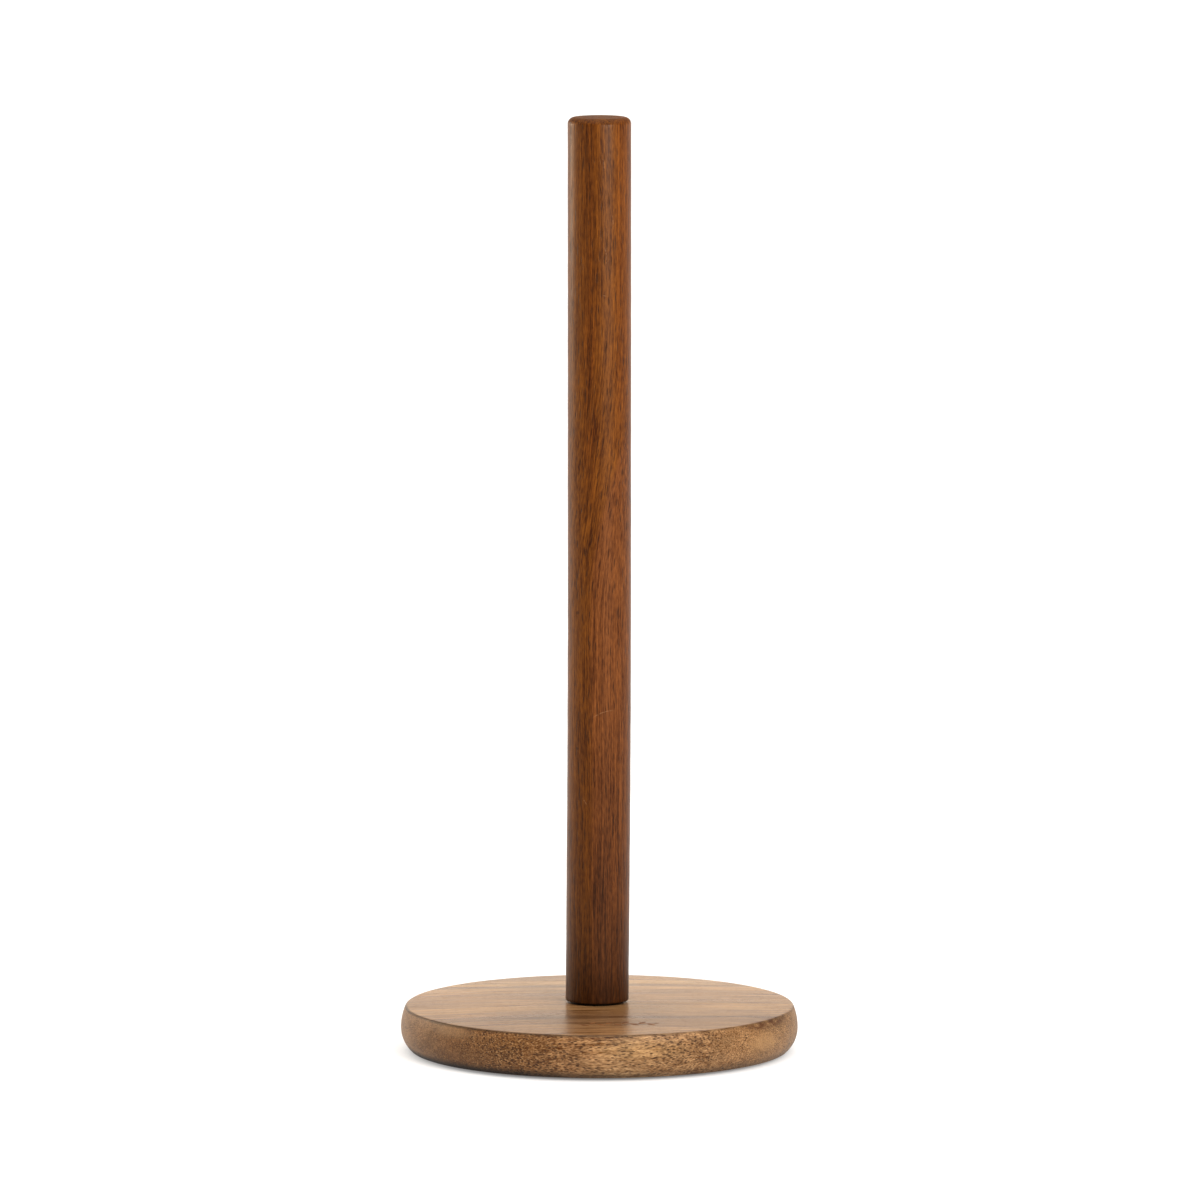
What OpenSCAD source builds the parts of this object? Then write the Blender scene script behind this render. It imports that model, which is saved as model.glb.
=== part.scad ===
// Upright paper towel holder: a turned wooden base and a round wooden post.
// A bolt stands up through the base, and the post screws down onto it by a threaded insert in its foot.
// Z is up and the table is at z = 0, with the origin under the middle of the base.

/* [Overall] */
// Height from the table to the top of the post
overall_h = 330; // [300:5:380]

/* [Base] */
// Diameter of the base at its widest
base_d = 140; // [130:1:180]
// Height of the base's side, from the underside to the arris
rim_h = 15.3; // [15:0.1:20]
// Rise of the top face from the arris to the seat
crown_h = 1; // [0.6:0.1:2]
// Diameter of the flat seat that the post stands on
seat_d = 30; // [26:1:40]
// Height of the widest point above the underside
belly_h = 7.5; // [6:0.1:8]
// Radius of the side's curve above the widest point
upper_side_r = 18; // [16:1:40]
// Radius of the side's curve below the widest point
lower_side_r = 10; // [8.5:0.5:12]
// Radius of the eased arris between the top and the side
arris_r = 0.8; // [0.4:0.1:1.2]

/* [Post] */
// Diameter of the post
post_d = 22.2; // [20:0.2:26]
// Radius of the rounded edge at the top of the post
post_top_r = 2.4; // [1:0.2:4]
// Radius of the eased edge at the foot of the post
post_foot_r = 0.5; // [0.3:0.1:1]

/* [Bolt and washers] */
// Length of the bolt under its head
bolt_len = 30; // [28:1:30]
// Diameter of the bolt's head
bolt_head_d = 10.5; // [10:0.1:11]
// Height of the bolt's head
bolt_head_h = 3.3; // [3:0.1:3.6]
// Outer diameter of the flat washer
flat_washer_d = 18; // [16:1:18]
// Outer diameter of the spring washer
spring_washer_d = 11.8; // [11:0.2:12]
// Thickness of each washer
washer_t = 1.6; // [1.2:0.1:1.6]

/* [Threaded insert] */
// Length of the insert, with its flange
insert_len = 16; // [13:1:17]
// Diameter of the insert over its outer thread
insert_d = 9.9; // [9:0.1:11]
// Diameter of the insert's flange
insert_flange_d = 12; // [11.5:0.1:13]

/* [Pads] */
// Diameter of each pad
pad_d = 14; // [10:1:16]
// Thickness of each pad
pad_t = 1; // [1:0.2:2]
// Diameter of the circle that the pads' centres lie on
pad_circle_d = 104; // [90:1:104]

/* [Hidden] */
$fn = 96;
crown_fn = 6000;                   // the crown is a short piece of a very large circle
eps = 0.01;

// M6 thread, in mm
thread_pitch = 1;
thread_r = 3;
thread_depth = 0.55;

base_r = base_d / 2;
post_r = post_d / 2;
seat_r = seat_d / 2;
base_z = pad_t;                    // underside of the base
seat_h = rim_h + crown_h;          // thickness of the base at the seat
seat_z = base_z + seat_h;          // foot of the post
post_len = overall_h - seat_z;

bolt_hole_r = 3.3;
counterbore_r = flat_washer_d / 2 + 0.5;
counterbore_h = bolt_head_h + 2 * washer_t + 1;
washer_z = base_z + counterbore_h - washer_t;   // underside of the flat washer
head_z = washer_z - washer_t;                   // bearing face of the bolt's head

// Clearances of the insert round the bolt and in the post
thread_gap = 0.05;
insert_gap = 0.06;
insert_flange_t = 1.2;
insert_set_in = 0.2;               // the flange stands this far inside the foot
insert_top_gap = 0.5;
insert_pitch = 2.5;
insert_thread_depth = 0.9;
tip_gap = 6;                       // depth of the bolt's hole beyond the insert

socket_across_flats = 4;
socket_h = 2;
head_rim_h = 0.4;                  // straight rim of the bolt's head
head_flat_r = 2.9;                 // flat end of the domed head
split_w = 1;                       // gap in the spring washer

// Where the side and the top face meet: the side is an arc about side_c, the top an arc about crown_c
side_c = [base_r - upper_side_r, belly_h];
arris_x = side_c.x + sqrt(pow(upper_side_r, 2) - pow(rim_h - belly_h, 2));
crown_r = (pow(arris_x, 2) - pow(seat_r, 2)) / (2 * crown_h) + crown_h / 2;
crown_c = [0, seat_h - sqrt(pow(crown_r, 2) - pow(seat_r, 2))];
arris_c = meeting(side_c, upper_side_r - arris_r, crown_c, crown_r - arris_r);

// The right-hand point that is r1 from c1 and r2 from c2
function meeting(c1, r1, c2, r2) =
    let (
        d = norm(c2 - c1),
        u = (c2 - c1) / d,
        along = (r1 * r1 - r2 * r2 + d * d) / (2 * d),
        across = sqrt(r1 * r1 - along * along)
    )
    c1 + along * u + across * [-u.y, u.x];

// Half section of a round bar with rounded edges, for rotate_extrude
module bar_profile(r, h, foot, top) {
    translate([0, foot]) square([r, h - foot - top]);
    square([r - foot, h - top]);
    translate([0, foot]) square([r - top, h - foot]);
    translate([r - foot, foot]) circle(foot);
    translate([r - top, h - top]) circle(top);
}

// Half section of a threaded bar, with its thread as rings
module thread_profile(crest_r, depth, pitch, turns) {
    root_r = crest_r - depth;
    rings = [for (i = [0:turns - 1]) each [[root_r, i * pitch], [crest_r, (i + 0.5) * pitch]]];
    polygon(concat([[0, 0]], rings, [[root_r, turns * pitch], [0, turns * pitch]]));
}

// What is cut away outside the eased arris
module arris_waste() {
    side_dir = (arris_c - side_c) / norm(arris_c - side_c);
    top_dir = (arris_c - crown_c) / norm(arris_c - crown_c);
    difference() {
        polygon([
            arris_c,
            arris_c + 2 * arris_r * side_dir,
            arris_c + 3 * arris_r * (side_dir + top_dir),
            arris_c + 2 * arris_r * top_dir
        ]);
        translate(arris_c) circle(arris_r);
    }
}

// Half section of the base: crowned top, swelling side, rounder below the widest point
module base_profile() {
    difference() {
        intersection() {
            square([base_r, seat_h]);
            translate(crown_c) circle(crown_r, $fn = crown_fn);
            union() {
                square([base_r - upper_side_r, seat_h]);
                intersection() {
                    translate(side_c) circle(upper_side_r);
                    translate([0, belly_h]) square([base_r, seat_h]);
                }
                intersection() {
                    union() {
                        translate([base_r - lower_side_r, belly_h]) circle(lower_side_r);
                        square([base_r - lower_side_r, seat_h]);
                    }
                    square([base_r, belly_h]);
                }
            }
        }
        arris_waste();
    }
}

// Turned base with the bolt's hole through it and a counterbore beneath
module base() {
    color("tan")
    translate([0, 0, base_z])
    difference() {
        rotate_extrude() base_profile();
        translate([0, 0, -eps]) cylinder(r = bolt_hole_r, h = seat_h + 2 * eps);
        translate([0, 0, -eps]) cylinder(r = counterbore_r, h = counterbore_h + eps);
    }
}

// Round post with the insert's stepped hole in its foot
module post() {
    insert_hole_r = insert_d / 2 + insert_gap;
    flange_hole_r = insert_flange_d / 2 + insert_gap;
    insert_hole_h = insert_set_in + insert_len + insert_top_gap;
    color("sienna")
    translate([0, 0, seat_z])
    difference() {
        rotate_extrude() bar_profile(post_r, post_len, post_foot_r, post_top_r);
        translate([0, 0, -eps])
            cylinder(r = flange_hole_r, h = insert_set_in + insert_flange_t + insert_gap + eps);
        translate([0, 0, -eps]) cylinder(r = insert_hole_r, h = insert_hole_h + eps);
        translate([0, 0, -eps]) cylinder(r = bolt_hole_r, h = insert_hole_h + tip_gap);
    }
}

// Flanged brass insert, threaded outside into the wood and bored for the bolt
module threaded_insert() {
    body_h = insert_len - insert_flange_t;
    turns = floor(body_h / insert_pitch);
    color("goldenrod")
    translate([0, 0, seat_z + insert_set_in])
    difference() {
        union() {
            cylinder(d = insert_flange_d, h = insert_flange_t);
            cylinder(r = insert_d / 2 - insert_thread_depth, h = insert_len);
            translate([0, 0, insert_flange_t])
                rotate_extrude()
                    thread_profile(insert_d / 2, insert_thread_depth, insert_pitch, turns);
        }
        translate([0, 0, -eps]) cylinder(r = thread_r + thread_gap, h = insert_len + 2 * eps);
    }
}

// Domed head with a straight rim, hanging below its bearing face
module bolt_head() {
    head_r = bolt_head_d / 2;
    dome_c = (pow(head_r, 2) - pow(head_flat_r, 2) + pow(head_rim_h, 2) - pow(bolt_head_h, 2))
        / (2 * (bolt_head_h - head_rim_h));
    dome_r = norm([head_r, dome_c + head_rim_h]);
    rotate_extrude()
        intersection() {
            translate([0, dome_c]) circle(dome_r);
            translate([0, -bolt_head_h]) square([head_r, bolt_head_h]);
        }
}

// M6 button-head bolt, head down in the counterbore
module fixing_bolt() {
    color("silver")
    translate([0, 0, head_z])
    difference() {
        union() {
            bolt_head();
            rotate_extrude() thread_profile(thread_r, thread_depth, thread_pitch, bolt_len);
        }
        translate([0, 0, -bolt_head_h - eps])
            cylinder(d = socket_across_flats / cos(30), h = socket_h + eps, $fn = 6);
    }
}

module washer_ring(outer_d) {
    difference() {
        cylinder(d = outer_d, h = washer_t);
        translate([0, 0, -eps]) cylinder(r = thread_r + 0.2, h = washer_t + 2 * eps);
    }
}

module flat_washer() {
    color("gainsboro") translate([0, 0, washer_z]) washer_ring(flat_washer_d);
}

// Spring washer, pressed flat, with its slanting split
module spring_washer() {
    color("dimgray")
    translate([0, 0, head_z])
    difference() {
        washer_ring(spring_washer_d);
        translate([spring_washer_d / 2, 0, washer_t / 2])
            rotate([25, 0, 0])
                cube([spring_washer_d, split_w, 3 * washer_t], center = true);
    }
}

// One pad under the base, side and front being -1 or 1 along X and Y
module pad(side, front) {
    reach = pad_circle_d / 2 * cos(45);
    color("darkslategray")
        translate([side * reach, front * reach, 0]) cylinder(d = pad_d, h = pad_t);
}

base();
post();
threaded_insert();
fixing_bolt();
flat_washer();
spring_washer();
pad(-1, -1);  // pad_front_left
pad(1, -1);  // pad_front_right
pad(-1, 1);  // pad_back_left
pad(1, 1);  // pad_back_right
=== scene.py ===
import math

import bpy
import numpy as np
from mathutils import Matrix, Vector, noise


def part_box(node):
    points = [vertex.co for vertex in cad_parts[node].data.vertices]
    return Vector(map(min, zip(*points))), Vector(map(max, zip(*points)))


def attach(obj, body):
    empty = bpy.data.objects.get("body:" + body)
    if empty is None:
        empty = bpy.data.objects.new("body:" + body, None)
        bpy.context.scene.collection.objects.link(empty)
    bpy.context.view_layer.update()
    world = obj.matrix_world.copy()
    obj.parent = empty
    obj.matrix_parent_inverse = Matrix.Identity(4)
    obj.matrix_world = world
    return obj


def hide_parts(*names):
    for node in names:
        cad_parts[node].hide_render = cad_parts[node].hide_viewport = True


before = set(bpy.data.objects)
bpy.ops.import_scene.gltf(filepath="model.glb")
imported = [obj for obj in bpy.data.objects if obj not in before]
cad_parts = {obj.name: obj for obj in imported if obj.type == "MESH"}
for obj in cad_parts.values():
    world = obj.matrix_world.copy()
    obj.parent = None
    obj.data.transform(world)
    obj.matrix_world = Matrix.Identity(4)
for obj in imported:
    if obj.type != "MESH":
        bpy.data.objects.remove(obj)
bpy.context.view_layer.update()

# The looks of an upright paper towel holder: a turned base and post of lacquered wood, and the bolt,
# insert, washers and pads that hold them. Shapes and textures are in mm, lights and camera in metres.

MM = 0.001
scene = bpy.context.scene

base_low, base_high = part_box("base")
post_low, post_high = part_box("post")
BASE_R = (base_high.x - base_low.x) / 2 / MM
BASE_H = (base_high.z - base_low.z) / MM
POST_R = (post_high.x - post_low.x) / 2 / MM
POST_H = (post_high.z - post_low.z) / MM
POST_Z = post_low.z / MM


# ---------------------------------------------------------------- node trees

# How much of a change in tone goes to red, green and blue
TONE_WEIGHTS = (0.92, 1.12, 1.36)


class Graph:
    """A material whose nodes are made by nested calls; every call returns an output socket."""

    def __init__(self, name):
        self.material = bpy.data.materials.new(name)
        self.material.use_nodes = True
        self.tree = self.material.node_tree
        self.tree.nodes.clear()

    def node(self, kind, values=(), out=0, **settings):
        made = self.tree.nodes.new(kind)
        for key, value in settings.items():
            setattr(made, key, value)
        for key, value in dict(values).items():
            self.put(made.inputs[key], value)
        return made.outputs[out]

    def put(self, socket, value):
        if isinstance(value, bpy.types.NodeSocket):
            self.tree.links.new(value, socket)
        elif value is not None:
            socket.default_value = value

    def position(self):
        """The place in the frame, in metres."""
        return self.node("ShaderNodeTexCoord", out=3)

    def millimetres(self):
        """The place in the frame, in mm."""
        return self.vector("MULTIPLY", self.position(), [1 / MM] * 3)

    def math(self, operation, a, b=None):
        return self.node("ShaderNodeMath", {0: a, 1: b}, operation=operation)

    def add(self, a, b):
        return self.math("ADD", a, b)

    def mul(self, a, b):
        return self.math("MULTIPLY", a, b)

    def absolute(self, value):
        return self.math("ABSOLUTE", value)

    def vector(self, operation, a, b=None, out=0):
        return self.node("ShaderNodeVectorMath", {0: a, 1: b}, out, operation=operation)

    def length(self, vector):
        return self.vector("LENGTH", vector, out=1)

    def dot(self, a, b):
        return self.vector("DOT_PRODUCT", a, b, out=1)

    def scaled(self, vector, sizes):
        """The vector with each coordinate divided by a size."""
        return self.vector("MULTIPLY", vector, [1 / s for s in sizes])

    def split(self, vector):
        made = self.tree.nodes.new("ShaderNodeSeparateXYZ")
        self.put(made.inputs[0], vector)
        return made.outputs

    def join(self, x, y, z):
        return self.node("ShaderNodeCombineXYZ", {0: x, 1: y, 2: z})

    def noise(self, vector, detail=2.0, rough=0.5):
        return self.node("ShaderNodeTexNoise", {"Vector": vector, "Scale": 1.0, "Detail": detail,
                                                "Roughness": rough, "Distortion": 0.0})

    def noise_along(self, value, detail):
        """Noise of a single number."""
        return self.node("ShaderNodeTexNoise", {"W": value, "Scale": 1.0, "Detail": detail,
                                                "Roughness": 0.5, "Distortion": 0.0}, noise_dimensions="1D")

    def cells(self, vector, sizes, shift=(0, 0, 0)):
        """Distance to the nearest of many scattered points, whose spacing along each axis is a size."""
        place = self.vector("ADD", self.scaled(vector, sizes), shift)
        return self.node("ShaderNodeTexVoronoi", {"Vector": place, "Scale": 1.0, "Randomness": 1.0})

    def range(self, value, low, high, to_low=0.0, to_high=1.0, smooth=True):
        return self.node("ShaderNodeMapRange", {0: value, 1: low, 2: high, 3: to_low, 4: to_high},
                         interpolation_type="SMOOTHSTEP" if smooth else "LINEAR")

    def tone(self, value, spread, low=0.3, high=0.7):
        """A noise turned into a change of tone from -spread to spread."""
        return self.range(value, low, high, -spread, spread)

    def ramp(self, value, stops):
        made = self.tree.nodes.new("ShaderNodeValToRGB")
        made.color_ramp.interpolation = "EASE"
        elements = made.color_ramp.elements
        while len(elements) < len(stops):
            elements.new(0.5)
        for element, (place, colour) in zip(elements, stops):
            element.position = place
            element.color = (*colour, 1) if len(colour) == 3 else colour
        self.put(made.inputs[0], value)
        return made.outputs[0]

    def mix_value(self, factor, a, b):
        return self.node("ShaderNodeMix", {0: factor, 2: a, 3: b}, 0, data_type="FLOAT")

    def mix(self, factor, a, b, blend="MIX"):
        return self.node("ShaderNodeMix", {0: factor, 6: a, 7: b}, 2, data_type="RGBA",
                         blend_type=blend)

    def colour(self, red, green, blue):
        return self.node("ShaderNodeCombineColor", {0: red, 1: green, 2: blue})

    def tint(self, colour, factor):
        """The colour times a grey factor."""
        return self.mix(1.0, colour, self.colour(factor, factor, factor), "MULTIPLY")

    def shaded(self, colour, tone):
        """The colour made lighter and paler where tone is above 0, darker and deeper where it is below."""
        factors = [self.add(1.0, self.mul(tone, weight)) for weight in TONE_WEIGHTS]
        return self.mix(1.0, colour, self.colour(*factors), "MULTIPLY")

    def bump(self, height, distance):
        """A normal from a height of about 0 to 1, which stands for this distance in metres."""
        return self.node("ShaderNodeBump", {"Height": height, "Distance": distance, "Strength": 1.0})

    def finish(self, **values):
        """Ends the tree in a Principled shader. Keys are its sockets' names with _ for spaces."""
        shader = self.tree.nodes.new("ShaderNodeBsdfPrincipled")
        for key, value in values.items():
            self.put(shader.inputs[key.replace("_", " ")], value)
        output = self.tree.nodes.new("ShaderNodeOutputMaterial")
        self.tree.links.new(shader.outputs[0], output.inputs[0])
        return self.material


def srgb(r, g, b):
    """A linear colour from one on the 0 to 255 display scale."""
    def linear(value):
        return value / 12.92 if value < 0.0404 else ((value + 0.055) / 1.055) ** 2.4

    return (linear(r / 255), linear(g / 255), linear(b / 255), 1.0)


def away(g, place, centre, radii):
    """Distance from a centre, which is 1 on an ellipsoid of these radii."""
    return g.length(g.scaled(g.vector("SUBTRACT", place, centre), radii))


def spot(g, place, centre, radii):
    """A soft ellipsoid, 1 in its middle and 0 outside."""
    return g.range(away(g, place, centre, radii), 1.0, 0.25)


# ---------------------------------------------------------------- meshes

def mesh_object(name, vertices, faces, material, body, replaces=(), slot=None, sharp=40):
    mesh = bpy.data.meshes.new(name)
    mesh.from_pydata([tuple(v) for v in vertices], [], faces)
    mesh.validate()
    mesh.shade_smooth()
    mesh.set_sharp_from_angle(angle=math.radians(sharp))
    mesh.materials.append(material)
    made = bpy.data.objects.new(name, mesh)
    scene.collection.objects.link(made)
    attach(made, body)
    if replaces:
        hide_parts(*replaces)
    return made


def lathe(profile, turns, closed):
    """Revolves (r, z) points about Z. Points at r = 0 become poles, and r may be a function of the angle."""
    vertices, rings = [], []
    angles = [2 * math.pi * k / turns for k in range(turns)]
    for r, z in profile:
        if not callable(r) and r <= 0:
            rings.append([len(vertices)])
            vertices.append((0.0, 0.0, z))
        else:
            rings.append(list(range(len(vertices), len(vertices) + turns)))
            radii = [r(a) if callable(r) else r for a in angles]
            vertices += [(q * math.cos(a), q * math.sin(a), z) for q, a in zip(radii, angles)]
    faces = []
    pairs = list(zip(rings, rings[1:])) + ([(rings[-1], rings[0])] if closed else [])
    for low, high in pairs:
        for k in range(turns):
            n = (k + 1) % turns
            if len(low) == 1:
                faces.append((low[0], high[n], high[k]))
            elif len(high) == 1:
                faces.append((low[k], low[n], high[0]))
            else:
                faces.append((low[k], low[n], high[n], high[k]))
    return np.array(vertices), faces


def arc(centre, radius, start, end, steps):
    """Points on an arc, angles in degrees, both ends included."""
    angles = [math.radians(start + (end - start) * k / steps) for k in range(steps + 1)]
    return [(centre[0] + radius * math.cos(a), centre[1] + radius * math.sin(a)) for a in angles]


def line(a, b, steps):
    """Points from a to b, without a itself."""
    return [(a[0] + (b[0] - a[0]) * k / steps, a[1] + (b[1] - a[1]) * k / steps)
            for k in range(1, steps + 1)]


def reaches(vertices):
    """Each vertex's distance from the Z axis."""
    return np.hypot(vertices[:, 0], vertices[:, 1])


def hand_sanded(vertices, wave, depth, seed):
    """Moves each vertex along its radius by a slow noise, as hand sanding leaves a turned face."""
    moved = vertices.copy()
    for index, (x, y, z) in enumerate(vertices):
        reach = math.hypot(x, y)
        if reach > 1e-6:
            push = depth * noise.noise(Vector((x / wave + seed, y / wave, z / wave)))
            moved[index, 0] += push * x / reach
            moved[index, 1] += push * y / reach
    return moved


# ---------------------------------------------------------------- camera, light, floor

# Camera in metres and radians: a long lens in front, a little above the object and looking down at it
CAMERA_PLACE = (0, -4.0005, 0.6527)
CAMERA_PITCH = 0.12254
CAMERA_SHIFT = 0.00045
LENS = 344.3565
SENSOR = 36.0

camera_data = bpy.data.cameras.new("camera")
camera_data.sensor_width = SENSOR
camera_data.lens = LENS
camera_data.shift_x = CAMERA_SHIFT
camera_data.clip_end = 100
camera = bpy.data.objects.new("camera", camera_data)
camera.location = CAMERA_PLACE
camera.rotation_euler = (math.pi / 2 - CAMERA_PITCH, 0, 0)
scene.collection.objects.link(camera)
scene.camera = camera

scene.view_settings.view_transform = "Standard"
scene.view_settings.look = "None"
scene.view_settings.gamma = 0.85

# Brightness of the room in front and behind, and what is left of it overhead and at the right
WORLD_FRONT = 0.22
WORLD_BACK = 1.75
WORLD_UPPER = 0.45
WORLD_RIGHT = 0.6
WORLD_COLOUR = (1.0, 0.93, 0.84, 1)


def studio_world():
    """A white backdrop behind, brightest at the horizon, and a darker room in front."""
    world = bpy.data.worlds.new("studio")
    world.use_nodes = True
    tree = world.node_tree
    where = tree.nodes.new("ShaderNodeTexCoord")
    split = tree.nodes.new("ShaderNodeSeparateXYZ")
    tree.links.new(where.outputs["Generated"], split.inputs[0])

    def ranged(axis, *limits):
        made = tree.nodes.new("ShaderNodeMapRange")
        made.interpolation_type = "SMOOTHSTEP"
        for index, value in enumerate(limits):
            made.inputs[index + 1].default_value = value
        tree.links.new(split.outputs[axis], made.inputs[0])
        return made.outputs[0]

    def product(a, b):
        made = tree.nodes.new("ShaderNodeMath")
        made.operation = "MULTIPLY"
        tree.links.new(a, made.inputs[0])
        tree.links.new(b, made.inputs[1])
        return made.outputs[0]

    depth = ranged(1, -0.75, 0.45, WORLD_FRONT, WORLD_BACK)
    height = ranged(2, 0.04, 0.42, 1.0, WORLD_UPPER)
    right = ranged(0, 0.1, 0.75, 1.0, WORLD_RIGHT)
    background = tree.nodes["Background"]
    background.inputs[0].default_value = WORLD_COLOUR
    tree.links.new(product(product(depth, height), right), background.inputs[1])
    return world


def lamp(name, kind, location, aim, energy, colour, **settings):
    data = bpy.data.lights.new(name, kind)
    data.energy = energy
    data.color = colour
    for key, value in settings.items():
        setattr(data, key, value)
    made = bpy.data.objects.new(name, data)
    made.location = location
    made.rotation_euler = (Vector(aim) - Vector(location)).to_track_quat("-Z", "Y").to_euler()
    scene.collection.objects.link(made)


scene.world = studio_world()
lamp("overhead", "SUN", (0.07, -0.14, 1), (0, 0, 0), 3.0, (1, 0.985, 0.965), angle=math.radians(85))
# The key stands low on the right, so that its reflection is the hazy stripe right of the post's middle
lamp("key", "AREA", (0.40, -0.66, 0.42), (0, 0, 0.25), 5.5, (1, 0.97, 0.95),
     shape="RECTANGLE", size=0.5, size_y=0.26)
lamp("kicker", "AREA", (-0.85, 0.45, 0.35), (0, 0, 0.15), 3.4, (1, 0.84, 0.64), size=0.3)

FLOOR_HALF = 20
FLOOR_GLOW = 0.54


def floor_material():
    """A pale table that is lit from within, less in front and not at all under the base. In metres."""
    g = Graph("floor")
    place = g.position()
    tone = g.noise(g.scaled(place, (0.4, 0.4, 0.4)), detail=3)
    glow = g.mul(g.range(g.split(place)[1], -1.1, -0.4, 0.15, 1.0), g.range(g.length(place), 0.056, 0.069))
    return g.finish(Base_Color=g.ramp(tone, [(0.3, (0.43, 0.43, 0.43)), (0.7, (0.45, 0.45, 0.45))]),
                    Roughness=0.9, Specular_IOR_Level=0.1, Emission_Strength=FLOOR_GLOW,
                    Emission_Color=g.colour(glow, glow, glow))


floor_mesh = bpy.data.meshes.new("floor")
floor_mesh.from_pydata([(-FLOOR_HALF, -FLOOR_HALF, 0), (FLOOR_HALF, -FLOOR_HALF, 0),
                        (FLOOR_HALF, FLOOR_HALF, 0), (-FLOOR_HALF, FLOOR_HALF, 0)], [], [(0, 1, 2, 3)])
floor_mesh.materials.append(floor_material())
floor = bpy.data.objects.new("floor", floor_mesh)
scene.collection.objects.link(floor)


# ---------------------------------------------------------------- base: wood

# The grain of the base runs along X, turned by this angle in degrees
GRAIN_TURN = 5

# Colours across the top from front to back, and round the side from left to right
TOP_BANDS = [
    (0.00, srgb(124, 91, 58)), (0.10, srgb(120, 87, 54)), (0.20, srgb(108, 77, 48)),
    (0.27, srgb(100, 70, 44)), (0.33, srgb(124, 89, 54)), (0.40, srgb(138, 102, 62)),
    (0.50, srgb(130, 94, 55)), (0.60, srgb(124, 89, 55)), (0.68, srgb(134, 98, 60)),
    (0.73, srgb(150, 113, 72)), (0.78, srgb(118, 88, 60)), (0.83, srgb(162, 126, 82)),
    (0.89, srgb(136, 102, 66)), (1.00, srgb(136, 98, 62)),
]
SIDE_TONES = [
    (0.00, srgb(132, 103, 74)), (0.06, srgb(122, 91, 61)), (0.14, srgb(112, 79, 48)),
    (0.30, srgb(120, 85, 51)), (0.42, srgb(136, 101, 67)), (0.55, srgb(142, 110, 76)),
    (0.75, srgb(138, 105, 71)), (1.00, srgb(134, 102, 68)),
]
TOP_MEAN = srgb(130, 101, 73)
OVAL_COLOUR = srgb(176, 140, 92)
FLECK_COLOUR = srgb(176, 140, 98)
FINE_PORE_COLOUR = srgb(80, 51, 30)
PORE_COLOUR = srgb(64, 39, 22)
RIGHT_PATCH_COLOUR = srgb(172, 136, 94)
LEFT_PATCH_COLOUR = srgb(146, 117, 86)
VEIN_COLOUR = srgb(80, 46, 22)
LACQUER_IOR = 1.32


class BaseGrain:
    """What the base's colour and relief are made from. Sizes of noises are along, across and up the grain."""

    def __init__(self, g):
        self.place = g.millimetres()
        self.turned = g.node("ShaderNodeVectorRotate",
                             {"Vector": self.place, "Angle": math.radians(-GRAIN_TURN)},
                             rotation_type="Z_AXIS")
        self.x, self.y, _ = g.split(self.place)
        along, across, self.up = g.split(self.turned)

        # distance across the growth rings, which stand nearly on edge and wander
        wander = g.noise(g.scaled(self.turned, (60, 24, 20)))
        self.wobble = g.noise(g.scaled(self.turned, (38, 6, 4)))
        upright = g.add(across, g.mul(g.add(self.up, -16), 0.3))
        drift = g.add(g.mul(g.add(wander, -0.5), 10.0), g.mul(g.add(self.wobble, -0.5), 3.4))
        self.ring = g.add(upright, drift)
        self.lie = g.join(along, self.ring, self.up)

        # 1 on the flat top, 0 on the side
        self.reach = g.length(g.vector("MULTIPLY", self.place, (1, 1, 0)))
        self.top = g.mul(g.range(self.reach, BASE_R - 1.4, BASE_R - 2.0), g.range(self.up, 12.0, 14.0))

        self.broad = g.noise_along(g.mul(self.ring, 0.13), 3)
        self.streaks = g.noise(g.scaled(self.lie, (60, 2.6, 2.6)))
        self.threads = g.noise(g.scaled(self.lie, (20, 1.2, 0.8)))
        self.fibres = g.noise(g.scaled(self.turned, (2.2, 0.38, 0.34)), detail=3, rough=0.6)
        self.blotch = g.noise(g.scaled(self.place, (11, 11, 7)))


def base_ground(g, wood):
    """Bands across the top, and broad tones round the side."""
    bands = g.ramp(g.range(wood.ring, -BASE_R, BASE_R, smooth=False), TOP_BANDS)
    side = g.ramp(g.range(wood.x, -BASE_R, BASE_R, smooth=False), SIDE_TONES)
    side = g.tint(side, g.range(wood.blotch, 0.3, 0.7, 0.86, 1.14))
    return g.mix(wood.top, side, g.mix(0.35, bands, TOP_MEAN))


def base_tones(g, wood, colour):
    """Grain from broad to fine, calm on the side but for its front, and a painted shadow and reflection of
    the post on the top in front of it.
    """
    front = g.range(away(g, wood.place, (14, -70, 8), (42, 30, 30)), 1.2, 0.4)
    side_calm = g.range(front, 0, 1, 0.40, 0.95)
    slow = g.add(g.mul(g.tone(wood.broad, 0.16), g.mix_value(wood.top, side_calm, 0.8)),
                 g.mul(g.tone(wood.streaks, 0.30), g.mix_value(wood.top, side_calm, 1.05)))
    quick = g.add(g.mul(g.tone(wood.threads, 0.30), g.mix_value(wood.top, side_calm, 0.95)),
                  g.mul(g.tone(wood.fibres, 0.42, 0.32, 0.68), g.mix_value(wood.top, 1.0, 0.3)))
    colour = g.shaded(colour, g.add(slow, quick))

    # painted shadow and dark reflection of the post, on the top just in front of it
    middle = g.mul(g.mul(wood.top, g.range(wood.y, -8, -14)),
                   g.mul(g.range(wood.y, -62, -40), g.range(g.absolute(wood.x), 34, 10)))
    return g.tint(colour, g.range(middle, 0, 1, 1.0, 0.84))


def base_oval(g, wood, colour):
    """An oval of paler wood in front, low on the swell, ringed by darker lines."""
    oval = away(g, wood.lie, (10, -68, 11.5), (19, 12, 4.4))
    colour = g.mix(g.mul(g.range(oval, 1.25, 0.2), 0.35), colour, OVAL_COLOUR)
    rings = g.math("SINE", g.mul(g.add(oval, g.mul(wood.wobble, 0.5)), 17.0))
    return g.tint(colour, g.add(1.0, g.mul(g.mul(rings, g.range(oval, 2.6, 0.6)), 0.11)))


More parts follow.
